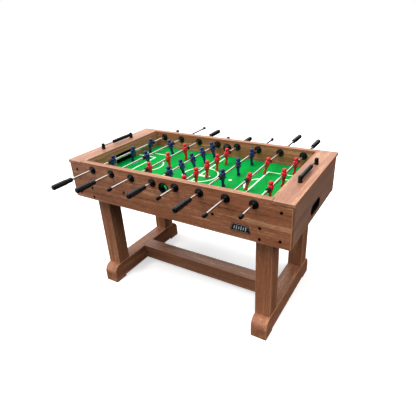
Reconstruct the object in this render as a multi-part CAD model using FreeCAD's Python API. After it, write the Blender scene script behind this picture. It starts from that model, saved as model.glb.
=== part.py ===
import FreeCAD, Part
import math
import os

# Foosball table, millimetres. +X runs along the table, -Y is the side where the blue
# team's grips are, +Z is up, and the origin is on the floor under the table's centre.

# ---- Cabinet ----
table_length = 1397.0        # over the two end rails
table_width = 731.0          # over the two side panels
table_height = 855.0         # floor to the top of the rails
cabinet_depth = 237.0        # top of the side panels to their lower edge
side_thickness = 31.5        # front and back panels
end_thickness = 25.0         # left and right end panels
end_inset = 1.5              # end panel set back from the side panels' ends
panel_edge_round = 3.0       # rounding along the top of a side panel
panel_arris = 1.5            # and along its other outside edges

rail_width = 116.5           # end rail, along the table
rail_thickness = 18.0
rail_end_overhang = 8.0      # rail past the end of the side panels
rail_side_overhang = 2.5     # rail past the outer face of the side panels
rail_ear_step = 15.0         # the rail's ears over the side panels are this much shorter
rail_edge_round = 3.0
rail_inner_round = 2.0
rail_corner_round = 4.0
rail_notch_gap = 3.0         # shadow gap where an ear ends against the side panel

# ---- Field and goals ----
rod_below_top = 38.6         # rod axis below the top of the cabinet
field_below_rods = 73.2      # playing surface below the rod axis
field_thickness = 12.0
goal_wall_thickness = 12.0
goal_half_width = 95.0
goal_height = 65.0
chute_wall = 5.0
chute_above_edge = 22.0      # underside of the ball chute, above the cabinet's lower edge
chute_slope = 18.0           # rise of the chute's floor from the return cup to the goal

batten_depth = 45.0          # field battens, across the table
batten_height = 30.0
batten_end_gap = 6.0         # batten stops this short of the legs
cross_batten_width = 40.0

# ---- Ball entry and ball return ----
entry_below_top = 56.0       # centre of the ball entry holes
entry_flange_radius = 31.5
entry_sleeve_radius = 26.5
entry_bore_radius = 24.0
entry_flange_thickness = 4.0
entry_flange_round = 2.4

return_above_edge = 61.5     # centre of the ball return opening
return_width = 143.0         # sleeve of the return cup, outside
return_sleeve_height = 49.0
return_wall = 3.0
return_flange_width = 4.0    # flange past the sleeve
return_flange_thickness = 2.5
return_lip_height = 5.0      # lip that keeps the balls in

# ---- Rods ----
rod_radius = 6.35
rod_wall = 1.5
goalie_rod_setback = 74.0    # goal wall to the first rod
rod_travel = {2: 160.5, 3: 101.5, 5: 49.5}   # half of the rod's full stroke, by number of men
finger_room = 27.0           # grip to bearing when the rod is pushed fully in
cap_room = 17.0              # end cap to bearing when the rod is pulled fully out

bearing_flange_radius = 24.0
bearing_flange_thickness = 5.0
bearing_flange_chamfer = 2.5
bearing_neck_radius = 12.5
bearing_neck_length = 6.0
bearing_sleeve_radius = 16.0
bearing_sleeve_length = 15.0

bumper_radius = 12.0
bumper_length = 20.0
bumper_edge_round = 1.5

grip_length = 127.0
grip_radius = 15.2
grip_neck_radius = 13.6
grip_neck_length = 36.0
grip_shoulder_length = 6.0
grip_end_wall = 10.0
grip_end_round = 3.0
cap_length = 25.0
cap_radius = 10.2
cap_end_wall = 9.0
cap_end_round = 2.0

# Rod by rod from the left: team, men, how far it is pushed towards +Y, how far the feet
# lean towards +X in degrees.
rods = [
    ("blue", 3, -13.0, -11.0),
    ("blue", 2, 75.0, 13.0),
    ("red", 3, -20.5, 5.0),
    ("blue", 5, 27.0, 13.0),
    ("red", 5, -45.0, -3.0),
    ("blue", 3, 57.0, 0.0),
    ("red", 2, 15.0, -13.0),
    ("red", 3, 13.0, -3.0),
]

# ---- Men ----
head_radius = 11.5
neck_radius = 6.0
head_top = 36.0              # top of the head above the rod axis
foot_clearance = 6.2         # sole to playing surface
man_half_width = 18.0        # half of the torso, along the rod
torso_half_depth = 15.0
torso_round = 9.0
torso_top = 17.0
torso_bottom = -17.0
hip_half_width = 11.0
hip_half_depth = 7.5
loft_overlap = 2.0           # the legs' ends reach this far into torso and shoe
ankle_half_width = 7.5
ankle_half_depth = 5.0
shoe_height = 17.0
shoe_half_width = 10.0
shoe_toe = 12.0              # toe ahead of the rod axis
shoe_heel = 7.0              # heel behind it
shoe_round = 10.2            # rounding over the toe

# ---- Scorers ----
scorer_post_spacing = 262.0
scorer_post_radius = 12.5
scorer_post_height = 36.0
scorer_post_top_round = 3.5
scorer_rod_radius = 2.5
scorer_rod_height = 21.0     # above the rail
scorer_rod_seat = 7.0        # how far the rod goes into each post
bead_count = 10
bead_length = 15.6
bead_radius = 11.3
bead_gap = 0.1
bead_edge_round = 1.5

# ---- Trestles ----
leg_setback = 116.5          # end of the rail to the outer face of a leg
leg_width = 88.0             # along the table
leg_depth = 96.0             # across the table
leg_front_setback = 60.0     # front panel face to the leg's front face
leg_edge_round = 2.0
foot_width = 92.0            # along the table
foot_overall = 712.0         # across the table
foot_height = 120.0
foot_round = 56.0            # rounding of the foot's upper end
foot_relief = 13.0           # the foot beam is cut away between its two pads
foot_pad_length = 89.0
stretcher_depth = 92.0       # across the table
stretcher_bottom = 26.0
wood_edge_round = 2.5

# ---- Blocks and fasteners ----
block_bottom_gap = 8.0       # blocks stop this far above the cabinet's lower edge
corner_block = 50.0
bolt_radius = 3.0
bolt_hole_radius = 3.3       # clearance hole in the side panels
bolt_head_radius = 8.0
bolt_head_height = 4.5
bolt_head_round = 3.6
bolt_length = 75.0           # under the head
top_bolt_below_top = 53.0
bottom_bolt_above_edge = 37.0
leg_bolt_above_edge = 21.0
leg_bolt_below_field = 33.0
mid_bolt_from_leg = 250.0    # along the table from the leg's centre
stud_radius = 4.0
stud_length = 120.0
stud_spacing = 44.0

plate_from_leg = 100.0       # front plate's centre from the leg's centre
plate_above_edge = 36.0
plate_height = 43.0
plate_bottom_width = 108.0
plate_top_width = 84.0
plate_thickness = 2.0

# ---- Fits ----
running_gap = 0.06           # radial, rod in a bearing, bumper or bead
seat_gap = 0.2               # radial, sleeve in a panel
touch_gap = 0.4              # between faces of pieces that move past each other

# ---- Places worked out from the sizes ----
half_length = table_length / 2
half_width = table_width / 2
panel_end = half_length - rail_end_overhang
inner_half_width = half_width - side_thickness
cabinet_bottom = table_height - cabinet_depth
rail_bottom = table_height - rail_thickness
rail_inner = half_length - rail_width
end_outer = panel_end - end_inset
end_inner = end_outer - end_thickness
ear_inner = rail_inner + rail_ear_step

rod_height = table_height - rod_below_top
field_top = rod_height - field_below_rods
field_bottom = field_top - field_thickness
goal_wall_outer = rail_inner + goal_wall_thickness
goal_top = field_top + goal_height
entry_height = table_height - entry_below_top
return_height = cabinet_bottom + return_above_edge
return_floor = return_height - return_sleeve_height / 2 + return_wall
chute_bottom = cabinet_bottom + chute_above_edge
first_rod_x = rail_inner - goalie_rod_setback
rod_pitch = 2 * first_rod_x / (len(rods) - 1)

bearing_stand = bearing_flange_thickness + bearing_neck_length
bearing_inner_face = inner_half_width - bearing_stand
bearing_outer_face = half_width + bearing_stand

leg_outer = half_length - leg_setback
leg_inner = leg_outer - leg_width
leg_centre = (leg_outer + leg_inner) / 2
leg_front = half_width - leg_front_setback
leg_back = leg_front - leg_depth
foot_inner = leg_centre - foot_width / 2
foot_outer = leg_centre + foot_width / 2
foot_end = foot_overall / 2
block_bottom = cabinet_bottom + block_bottom_gap

X_AXIS = FreeCAD.Vector(1, 0, 0)
Y_AXIS = FreeCAD.Vector(0, 1, 0)
Z_AXIS = FreeCAD.Vector(0, 0, 1)


# ---- Small helpers ----
def box(x, y, z):
    return Part.makeBox(x[1] - x[0], y[1] - y[0], z[1] - z[0], FreeCAD.Vector(x[0], y[0], z[0]))


def cylinder(radius, start, direction, length):
    return Part.makeCylinder(radius, length, FreeCAD.Vector(*start), direction)


def edges_where(shape, test):
    return [e for e in shape.Edges if test(e)]


def runs_along(edge, axis):
    if not isinstance(edge.Curve, Part.Line):
        return False
    return abs(edge.tangentAt(edge.FirstParameter).dot(axis)) > 0.999


def rounded_along(shape, radius, axis):
    return shape.makeFillet(radius, edges_where(shape, lambda e: runs_along(e, axis)))


def end_mirror(shape):
    return shape.mirror(FreeCAD.Vector(0, 0, 0), X_AXIS)


def side_mirror(shape):
    return shape.mirror(FreeCAD.Vector(0, 0, 0), Y_AXIS)


def both_ends(shape):
    return [shape, end_mirror(shape)]


def both_sides(shape):
    return [shape, side_mirror(shape)]


def four_corners(shape):
    return both_ends(shape) + both_ends(side_mirror(shape))


def group(shapes):
    return shapes[0] if len(shapes) == 1 else Part.makeCompound(shapes)


def slot_prism(width, height, x, length, centre_z):
    """A bar along X with a stadium section, width across Y and height along Z."""
    radius = height / 2
    half = width / 2 - radius
    top = centre_z + radius
    bottom = centre_z - radius
    corner = [(-half, top), (half, top), (half, bottom), (-half, bottom)]
    points = [FreeCAD.Vector(x, y, z) for y, z in corner]
    right = FreeCAD.Vector(x, half + radius, centre_z)
    left = FreeCAD.Vector(x, -half - radius, centre_z)
    outline = [
        Part.makeLine(points[0], points[1]),
        Part.Arc(points[1], right, points[2]).toShape(),
        Part.makeLine(points[2], points[3]),
        Part.Arc(points[3], left, points[0]).toShape(),
    ]
    return Part.Face(Part.Wire(outline)).extrude(FreeCAD.Vector(length, 0, 0))


# ---- Fastener places, shared by the panels, the blocks and the bolts ----
def rod_x(index):
    return -first_rod_x + index * rod_pitch


def bolt_places():
    corner_x = end_inner - corner_block / 2
    places = [
        (corner_x, table_height - top_bolt_below_top),
        (corner_x, cabinet_bottom + bottom_bolt_above_edge),
        (leg_centre - mid_bolt_from_leg, field_bottom - batten_height / 2),
        (leg_centre, cabinet_bottom + leg_bolt_above_edge),
        (leg_centre, field_bottom - leg_bolt_below_field),
    ]
    return [(sign * x, z) for x, z in places for sign in (1, -1)]


def bolt_holes(radius):
    """Front bolt holes, from the panel's face inwards."""
    return [
        cylinder(radius, (x, -half_width, z), Y_AXIS, bolt_length) for x, z in bolt_places()
    ]


def stud_places():
    """Start point and direction of the studs that hold the trestles together, right front."""
    leg_mid = -(leg_front + leg_back) / 2
    upright = ((leg_centre, leg_mid, foot_height - stud_length / 2), Z_AXIS)
    level = (
        (foot_inner - stud_length / 2, -stud_spacing / 2, (stretcher_bottom + foot_height) / 2),
        X_AXIS,
    )
    return [upright, level]


def studs(radius):
    shapes = [cylinder(radius, start, way, stud_length) for start, way in stud_places()]
    return [copy for shape in shapes for copy in four_corners(shape)]


# ---- Cabinet ----
def front_side_panel():
    panel = box(
        (-panel_end, panel_end), (-half_width, -inner_half_width), (cabinet_bottom, table_height)
    )
    top_edges = edges_where(
        panel,
        lambda e: runs_along(e, X_AXIS) and e.BoundBox.ZMin > table_height - 1,
    )
    panel = panel.makeFillet(panel_edge_round, top_edges)
    face_edges = edges_where(
        panel,
        lambda e: e.BoundBox.YMax < -half_width + 0.1 and not e.BoundBox.ZMin > cabinet_bottom + 1,
    )
    panel = panel.makeFillet(panel_arris, face_edges)
    notch = box(
        (ear_inner - rail_notch_gap, half_length + 1),
        (-half_width - 1, -inner_half_width + 1),
        (rail_bottom, table_height + 1),
    )
    cuts = both_ends(notch) + bolt_holes(bolt_hole_radius)
    for index in range(len(rods)):
        start = (rod_x(index), -half_width - 1, rod_height)
        hole = bearing_sleeve_radius + seat_gap
        cuts.append(cylinder(hole, start, Y_AXIS, side_thickness + 2))
    entry_start = (0, -half_width - 1, entry_height)
    entry_hole = entry_sleeve_radius + seat_gap
    cuts.append(cylinder(entry_hole, entry_start, Y_AXIS, side_thickness + 2))
    return panel.cut(cuts)


def right_end_panel():
    panel = box(
        (end_inner, end_outer), (-inner_half_width, inner_half_width), (cabinet_bottom, rail_bottom)
    )
    opening = slot_prism(
        return_width + 2 * seat_gap,
        return_sleeve_height + 2 * seat_gap,
        end_inner - 1,
        end_thickness + 2,
        return_height,
    )
    return panel.cut(opening)


def right_end_rail():
    board = box(
        (ear_inner, half_length),
        (-half_width - rail_side_overhang, half_width + rail_side_overhang),
        (rail_bottom, table_height),
    )
    outer_corners = edges_where(
        board, lambda e: runs_along(e, Z_AXIS) and e.BoundBox.XMin > half_length - 1
    )
    board = board.makeFillet(rail_corner_round, outer_corners)
    tongue = box(
        (rail_inner, ear_inner + rail_corner_round),
        (-inner_half_width, inner_half_width),
        (rail_bottom, table_height),
    )
    rail = board.fuse(tongue).removeSplitter()
    end_edges = edges_where(
        rail, lambda e: runs_along(e, Y_AXIS) and e.BoundBox.XMin > half_length - 1
    )
    rail = rail.makeFillet(rail_edge_round, end_edges)
    inner_edge = edges_where(
        rail,
        lambda e: runs_along(e, Y_AXIS)
        and e.BoundBox.XMax < rail_inner + 0.1
        and e.BoundBox.ZMin > table_height - 0.1,
    )
    return rail.makeFillet(rail_inner_round, inner_edge)


def mounting_blocks():
    corner = box(
        (end_inner - corner_block, end_inner),
        (-inner_half_width, -inner_half_width + corner_block),
        (block_bottom, rail_bottom),
    )
    beside_leg = box(
        (leg_inner, leg_outer), (-inner_half_width, -leg_front), (block_bottom, field_bottom)
    )
    front = [b.cut(bolt_holes(bolt_radius)) for b in both_ends(corner) + both_ends(beside_leg)]
    return group(front + [side_mirror(b) for b in front])


def frame_bolts():
    bolts = []
    for x, z in bolt_places():
        shank = cylinder(bolt_radius, (x, -half_width, z), Y_AXIS, bolt_length)
        head = cylinder(
            bolt_head_radius, (x, -half_width - bolt_head_height, z), Y_AXIS, bolt_head_height
        )
        rim = edges_where(head, lambda e: e.BoundBox.YMax < -half_width - bolt_head_height + 0.1)
        head = head.makeFillet(bolt_head_round, rim)
        bolts += both_sides(shank.fuse(head))
    return group(bolts)


def front_plate():
    centre = leg_centre - plate_from_leg
    bottom = cabinet_bottom + plate_above_edge
    corners = [
        (centre - plate_bottom_width / 2, bottom),
        (centre + plate_bottom_width / 2, bottom),
        (centre + plate_top_width / 2, bottom + plate_height),
        (centre - plate_top_width / 2, bottom + plate_height),
    ]
    points = [FreeCAD.Vector(x, -half_width, z) for x, z in corners]
    face = Part.Face(Part.makePolygon(points + points[:1]))
    plate = face.extrude(FreeCAD.Vector(0, -plate_thickness, 0))
    return rounded_along(plate, plate_thickness, Y_AXIS)


# ---- Field and goals ----
def playfield():
    return box(
        (-goal_wall_outer, goal_wall_outer),
        (-inner_half_width, inner_half_width),
        (field_bottom, field_top),
    )


def playfield_battens():
    low = field_bottom - batten_height
    reach = leg_inner - batten_end_gap
    along = box(
        (-reach, reach), (-inner_half_width, -inner_half_width + batten_depth), (low, field_bottom)
    )
    along = along.cut(bolt_holes(bolt_radius))
    half_span = inner_half_width - batten_depth
    across = []
    for x in (-leg_inner / 2, 0, leg_inner / 2):
        sides = (x - cross_batten_width / 2, x + cross_batten_width / 2)
        across.append(box(sides, (-half_span, half_span), (low, field_bottom)))
    return group(both_sides(along) + across)


def goal_walls():
    wall = box(
        (rail_inner, goal_wall_outer), (-inner_half_width, inner_half_width), (field_top, rail_bottom)
    )
    mouth = box(
        (rail_inner - 1, goal_wall_outer + 1),
        (-goal_half_width, goal_half_width),
        (field_top - 1, goal_top),
    )
    return group(both_ends(wall.cut(mouth)))


def goal_boxes():
    """A chute behind each goal: two cheeks, a wall under the field and a sloped floor."""
    outer_half = goal_half_width + chute_wall
    shell = box((goal_wall_outer, end_inner), (-outer_half, outer_half), (chute_bottom, rail_bottom))
    inner_x = goal_wall_outer + chute_wall
    outline = [
        (inner_x, return_floor + chute_slope),
        (end_inner, return_floor),
        (end_inner + 1, return_floor),
        (end_inner + 1, rail_bottom + 1),
        (goal_wall_outer - 1, rail_bottom + 1),
        (goal_wall_outer - 1, field_top),
        (inner_x, field_top),
    ]
    points = [FreeCAD.Vector(x, -goal_half_width, z) for x, z in outline]
    face = Part.Face(Part.makePolygon(points + points[:1]))
    hollow = face.extrude(FreeCAD.Vector(0, 2 * goal_half_width, 0))
    return group(both_ends(shell.cut(hollow)))


def ball_return_cups():
    inside_width = return_width - 2 * return_wall
    inside_height = return_sleeve_height - 2 * return_wall
    full_depth = end_thickness + return_flange_thickness
    sleeve = slot_prism(return_width, return_sleeve_height, end_inner, full_depth, return_height)
    flange = slot_prism(
        return_width + 2 * return_flange_width,
        return_sleeve_height + 2 * return_flange_width,
        end_outer,
        return_flange_thickness,
        return_height,
    )
    bore = slot_prism(inside_width, inside_height, end_inner - 1, full_depth + 2, return_height)
    lip_top = return_height - inside_height / 2 + return_lip_height
    lip = bore.common(
        box(
            (end_outer + return_flange_thickness - return_wall, end_outer + return_flange_thickness),
            (-return_width, return_width),
            (return_height - return_sleeve_height, lip_top),
        )
    )
    cup = sleeve.fuse(flange).cut(bore).fuse(lip).removeSplitter()
    return group(both_ends(cup))


def ball_entry_cups():
    flange = cylinder(
        entry_flange_radius,
        (0, -half_width - entry_flange_thickness, entry_height),
        Y_AXIS,
        entry_flange_thickness,
    )
    front_rim = edges_where(
        flange, lambda e: e.BoundBox.YMax < -half_width - entry_flange_thickness + 0.1
    )
    flange = flange.makeFillet(entry_flange_round, front_rim)
    sleeve = cylinder(entry_sleeve_radius, (0, -half_width, entry_height), Y_AXIS, side_thickness)
    bore = cylinder(
        entry_bore_radius,
        (0, -half_width - entry_flange_thickness - 1, entry_height),
        Y_AXIS,
        side_thickness + entry_flange_thickness + 2,
    )
    return group(both_sides(flange.fuse(sleeve).cut(bore)))


# ---- Bearings ----
def bearing_half():
    """One half of a rod bearing: its flange stands on the plane Y = 0, the sleeve goes to +Y."""
    flange = cylinder(
        bearing_flange_radius, (0, -bearing_flange_thickness, 0), Y_AXIS, bearing_flange_thickness
    )
    rim = edges_where(flange, lambda e: e.BoundBox.YMax < -bearing_flange_thickness + 0.1)
    flange = flange.makeChamfer(bearing_flange_chamfer, rim)
    neck = cylinder(bearing_neck_radius, (0, -bearing_stand, 0), Y_AXIS, bearing_stand)
    sleeve = cylinder(bearing_sleeve_radius, (0, 0, 0), Y_AXIS, bearing_sleeve_length)
    bore = cylinder(
        rod_radius + running_gap,
        (0, -bearing_stand - 1, 0),
        Y_AXIS,
        bearing_stand + bearing_sleeve_length + 2,
    )
    return flange.fuse([neck, sleeve]).cut(bore)


def bearing_halves(outer):
    half = bearing_half()
    if outer:
        half.translate(FreeCAD.Vector(0, -half_width, rod_height))
    else:
        half = side_mirror(half)
        half.translate(FreeCAD.Vector(0, -inner_half_width, rod_height))
    pieces = []
    for index in range(len(rods)):
        piece = half.copy()
        piece.translate(FreeCAD.Vector(rod_x(index), 0, 0))
        pieces += both_sides(piece)
    return group(pieces)


# ---- Rods and men ----
def outermost_man(men):
    """Y of the outermost man from the middle of the rod."""
    return bearing_inner_face - 2 * touch_gap - bumper_length - man_half_width - rod_travel[men]


def men_places(men):
    reach = outermost_man(men)
    return [reach * (2 * i / (men - 1) - 1) for i in range(men)]


def grip_end(men):
    return bearing_outer_face + rod_travel[men] + finger_room + grip_length


def cap_end(men):
    return bearing_outer_face + rod_travel[men] + cap_room + cap_length


def rod_tube(men):
    start = -grip_end(men) + grip_end_wall
    length = cap_end(men) - cap_end_wall - start
    tube = cylinder(rod_radius, (0, start, 0), Y_AXIS, length)
    return tube.cut(cylinder(rod_radius - rod_wall, (0, start - 1, 0), Y_AXIS, length + 2))


def rod_grip(men):
    end = -grip_end(men)
    inner = end + grip_length
    shoulder = inner - grip_neck_length
    outline = [(0, end), (grip_radius, end), (grip_radius, shoulder)]
    outline += [(grip_neck_radius, shoulder + grip_shoulder_length), (grip_neck_radius, inner), (0, inner)]
    points = [FreeCAD.Vector(r, y, 0) for r, y in outline]
    face = Part.Face(Part.makePolygon(points + points[:1]))
    grip = face.revolve(FreeCAD.Vector(0, 0, 0), Y_AXIS, 360)
    rim = edges_where(grip, lambda e: e.BoundBox.YMax < end + 0.1 and e.BoundBox.XMax > 1)
    grip = grip.makeFillet(grip_end_round, rim)
    return grip.cut(cylinder(rod_radius, (0, end + grip_end_wall, 0), Y_AXIS, grip_length))


def rod_cap(men):
    end = cap_end(men)
    cap = cylinder(cap_radius, (0, end - cap_length, 0), Y_AXIS, cap_length)
    rim = edges_where(cap, lambda e: e.BoundBox.YMin > end - 0.1)
    cap = cap.makeFillet(cap_end_round, rim)
    seat_depth = cap_length - cap_end_wall
    return cap.cut(cylinder(rod_radius, (0, end - cap_length, 0), Y_AXIS, seat_depth))


def section(deep, wide, z):
    corners = [(-deep, -wide), (deep, -wide), (deep, wide), (-deep, wide)]
    points = [FreeCAD.Vector(x, y, z) for x, y in corners]
    return Part.makePolygon(points + points[:1])


def man():
    """A man on a rod through his chest: facing +X, feet down, rod along Y at the origin."""
    sole = foot_clearance - field_below_rods
    ankle = sole + shoe_height
    torso = box(
        (-torso_half_depth, torso_half_depth),
        (-man_half_width, man_half_width),
        (torso_bottom, torso_top),
    )
    torso = rounded_along(torso, torso_round, Y_AXIS)
    legs = Part.makeLoft(
        [
            section(hip_half_depth, hip_half_width, torso_bottom + loft_overlap),
            section(ankle_half_depth, ankle_half_width, ankle - loft_overlap),
        ],
        True,
    )
    shoe = box((-shoe_heel, shoe_toe), (-shoe_half_width, shoe_half_width), (sole, ankle))
    toe_edge = edges_where(
        shoe,
        lambda e: runs_along(e, Y_AXIS) and e.BoundBox.XMin > 0 and e.BoundBox.ZMin > ankle - 1,
    )
    shoe = shoe.makeFillet(shoe_round, toe_edge)
    head = Part.makeSphere(head_radius, FreeCAD.Vector(0, 0, head_top - head_radius))
    neck = cylinder(neck_radius, (0, 0, torso_top - loft_overlap), Z_AXIS, head_radius)
    figure = torso.fuse([legs, shoe, head, neck]).removeSplitter()
    return figure.cut(cylinder(rod_radius, (0, -2 * man_half_width, 0), Y_AXIS, 4 * man_half_width))


def rod_bumpers(men):
    inner = outermost_man(men) + man_half_width + touch_gap
    bumper = cylinder(bumper_radius, (0, inner, 0), Y_AXIS, bumper_length)
    rims = edges_where(bumper, lambda e: isinstance(e.Curve, Part.Circle))
    bumper = bumper.makeFillet(bumper_edge_round, rims)
    bore = rod_radius + running_gap
    bumper = bumper.cut(cylinder(bore, (0, inner - 1, 0), Y_AXIS, bumper_length + 2))
    return both_sides(bumper)


def rod_nodes(index, figure):
    team, men, push, lean = rods[index]
    men_group = []
    for y in men_places(men):
        one = figure.copy()
        if team == "red":
            one.rotate(FreeCAD.Vector(0, 0, 0), Z_AXIS, 180)
        one.translate(FreeCAD.Vector(0, y, 0))
        one.rotate(FreeCAD.Vector(0, 0, 0), Y_AXIS, -lean)
        men_group.append(one)
    hardware = [rod_grip(men), rod_cap(men)]
    tube = rod_tube(men)
    if team == "red":
        hardware = [side_mirror(piece) for piece in hardware]
        tube = side_mirror(tube)
    name = "rod_%d_" % (index + 1)
    made = {
        name + "tube": tube,
        name + "players": group(men_group),
        name + "grip_and_cap": group(hardware),
        name + "bumpers": group(rod_bumpers(men)),
    }
    for shape in made.values():
        shape.translate(FreeCAD.Vector(rod_x(index), push, rod_height))
    return made


# ---- Scorers ----
scorer_x = (rail_inner + half_length) / 2
scorer_axis_z = table_height + scorer_rod_height
post_y = scorer_post_spacing / 2
stack_length = bead_count * (bead_length + bead_gap) - bead_gap
stack_start = -post_y + scorer_post_radius + touch_gap


def scorer_posts():
    start = (scorer_x, -post_y, table_height)
    post = cylinder(scorer_post_radius, start, Z_AXIS, scorer_post_height)
    top = edges_where(post, lambda e: e.BoundBox.ZMin > table_height + scorer_post_height - 0.1)
    post = post.makeFillet(scorer_post_top_round, top)
    seat_y = post_y - scorer_rod_seat
    seat = cylinder(scorer_rod_radius, (scorer_x, -seat_y, scorer_axis_z), Y_AXIS, 2 * seat_y)
    return group(four_corners(post.cut(seat)))


def scorer_rods():
    seat_y = post_y - scorer_rod_seat
    rod = cylinder(scorer_rod_radius, (scorer_x, -seat_y, scorer_axis_z), Y_AXIS, 2 * seat_y)
    return group(both_ends(rod))


def right_score_beads():
    bead = cylinder(bead_radius, (0, 0, 0), Y_AXIS, bead_length)
    bead = bead.makeFillet(
        bead_edge_round, edges_where(bead, lambda e: isinstance(e.Curve, Part.Circle))
    )
    bore = scorer_rod_radius + running_gap
    bead = bead.cut(cylinder(bore, (0, -1, 0), Y_AXIS, bead_length + 2))
    beads = []
    for i in range(bead_count):
        one = bead.copy()
        y = stack_start + i * (bead_length + bead_gap)
        one.translate(FreeCAD.Vector(scorer_x, y, scorer_axis_z))
        beads.append(one)
    return group(beads)


# ---- Trestles ----
def right_front_leg():
    leg = box((leg_inner, leg_outer), (-leg_front, -leg_back), (foot_height, field_bottom))
    leg = rounded_along(leg, leg_edge_round, Z_AXIS)
    return leg.cut(studs(stud_radius) + bolt_holes(bolt_radius))


def right_foot_beam():
    """The end view of the foot, drawn across the table and extruded along it."""
    start = foot_end - foot_round
    shoulder = foot_height - foot_round
    middle = foot_round * math.sqrt(0.5)
    pad_inner = foot_end - foot_pad_length

    def at(y, z):
        return FreeCAD.Vector(foot_inner, y, z)

    def end_arc(sign):
        return Part.Arc(
            at(sign * start, foot_height),
            at(sign * (start + middle), shoulder + middle),
            at(sign * foot_end, shoulder),
        ).toShape()

    base = [
        (foot_end, shoulder), (foot_end, 0), (pad_inner, 0), (pad_inner, foot_relief),
        (-pad_inner, foot_relief), (-pad_inner, 0), (-foot_end, 0), (-foot_end, shoulder),
    ]
    lines = [Part.makeLine(at(*p), at(*q)) for p, q in zip(base, base[1:])]
    top = Part.makeLine(at(start, foot_height), at(-start, foot_height))
    wire = Part.Wire(Part.__sortEdges__(lines + [end_arc(1), top, end_arc(-1)]))
    beam = Part.Face(wire).extrude(FreeCAD.Vector(foot_width, 0, 0))
    arrises = edges_where(
        beam, lambda e: e.BoundBox.XLength < 0.01 and e.BoundBox.ZMax > foot_relief + 0.01
    )
    beam = beam.makeFillet(wood_edge_round, arrises)
    return beam.cut(studs(stud_radius))


def stretcher():
    beam = box(
        (-foot_inner, foot_inner),
        (-stretcher_depth / 2, stretcher_depth / 2),
        (stretcher_bottom, foot_height),
    )
    beam = rounded_along(beam, wood_edge_round, X_AXIS)
    return beam.cut(studs(stud_radius))


# ---- Every node ----
def build():
    front_panel = front_side_panel()
    end_panel = right_end_panel()
    rail = right_end_rail()
    leg = right_front_leg()
    foot = right_foot_beam()
    beads = right_score_beads()
    nodes = {
        "front_side_panel": front_panel,
        "back_side_panel": side_mirror(front_panel),
        "left_end_panel": end_mirror(end_panel),
        "right_end_panel": end_panel,
        "end_rails": group(both_ends(rail)),
        "mounting_blocks": mounting_blocks(),
        "frame_bolts": frame_bolts(),
        "front_plate": front_plate(),
        "playfield": playfield(),
        "playfield_battens": playfield_battens(),
        "goal_walls": goal_walls(),
        "goal_boxes": goal_boxes(),
        "ball_return_cups": ball_return_cups(),
        "ball_entry_cups": ball_entry_cups(),
        "bearing_outer_halves": bearing_halves(True),
        "bearing_inner_halves": bearing_halves(False),
        "right_front_leg": leg,
        "left_front_leg": end_mirror(leg),
        "right_back_leg": side_mirror(leg),
        "left_back_leg": side_mirror(end_mirror(leg)),
        "right_foot_beam": foot,
        "left_foot_beam": end_mirror(foot),
        "stretcher": stretcher(),
        "trestle_studs": group(studs(stud_radius)),
        "scorer_posts": scorer_posts(),
        "scorer_rods": scorer_rods(),
        "right_score_beads": beads,
        "left_score_beads": beads.copy(),
    }
    # The left stack is pushed to the far end of its rod: turn the right one about Z.
    nodes["left_score_beads"].rotate(FreeCAD.Vector(0, 0, 0), Z_AXIS, 180)
    figure = man()
    for index in range(len(rods)):
        nodes.update(rod_nodes(index, figure))
    return nodes


os.makedirs("parts", exist_ok=True)
for node_name, node_shape in build().items():
    node_shape.exportStep(os.path.join("parts", node_name + ".step"))
    print(node_name, len(node_shape.Solids), "solid(s)", round(node_shape.Volume), "mm3")

for men in sorted(rod_travel):
    print("rod with", men, "men: travel", rod_travel[men], "grip end", grip_end(men))
print("rod pitch", rod_pitch, "scorer travel", 2 * (-stack_start) - stack_length)
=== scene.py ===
import math
import random

import bmesh
import bpy
from mathutils import Matrix, Vector


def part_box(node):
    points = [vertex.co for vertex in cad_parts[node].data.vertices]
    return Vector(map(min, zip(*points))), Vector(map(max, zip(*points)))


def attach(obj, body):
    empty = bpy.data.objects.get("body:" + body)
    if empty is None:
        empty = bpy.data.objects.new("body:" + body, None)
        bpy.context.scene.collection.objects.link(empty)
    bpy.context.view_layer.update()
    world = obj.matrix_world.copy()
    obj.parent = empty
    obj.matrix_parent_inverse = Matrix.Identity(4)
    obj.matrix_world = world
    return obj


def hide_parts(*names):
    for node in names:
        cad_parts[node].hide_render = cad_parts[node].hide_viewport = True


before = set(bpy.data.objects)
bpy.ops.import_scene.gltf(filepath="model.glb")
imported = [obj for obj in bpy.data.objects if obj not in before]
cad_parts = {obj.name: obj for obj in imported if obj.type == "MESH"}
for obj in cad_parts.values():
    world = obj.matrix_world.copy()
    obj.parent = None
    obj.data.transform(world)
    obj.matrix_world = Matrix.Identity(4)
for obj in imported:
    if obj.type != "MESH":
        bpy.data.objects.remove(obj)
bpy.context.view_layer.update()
mm = 0.001
mathNode = "ShaderNodeMath"
rangeNode = "ShaderNodeMapRange"  # inputs 1 and 2 are the range it reads, 3 and 4 the one it gives
mixNode = "ShaderNodeMix"  # for colours, inputs 6 and 7 are the two mixed and output 2 is the result


def hexColour(code):
    # an sRGB hex value as linear colour
    parts = [int(code[i:i + 2], 16) / 255 for i in (1, 3, 5)]
    return [p / 12.92 if p <= 0.04045 else ((p + 0.055) / 1.055) ** 2.4 for p in parts] + [1.0]


def addNode(tree, kind, inputs=None, out=None, stops=None, **settings):
    # adds one node with its settings, values, links and ramp; out is the output to hand back
    node = tree.nodes.new(kind)
    for key, value in settings.items():
        setattr(node, key, value)
    for key, value in (inputs or {}).items():
        if isinstance(value, bpy.types.NodeSocket):
            tree.links.new(value, node.inputs[key])
        else:
            node.inputs[key].default_value = value
    for i, (position, code) in enumerate(stops or []):
        ramp = node.color_ramp.elements
        element = ramp[i] if i < len(ramp) else ramp.new(position)
        element.position = position
        element.color = hexColour(code)
    return node if out is None else node.outputs[out]


def startMaterial(name):
    # an empty material, its tree and its object coordinates
    material = bpy.data.materials.new(name)
    material.use_nodes = True
    material.node_tree.nodes.clear()
    place = addNode(material.node_tree, "ShaderNodeTexCoord", out="Object")
    return material, material.node_tree, place


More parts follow.
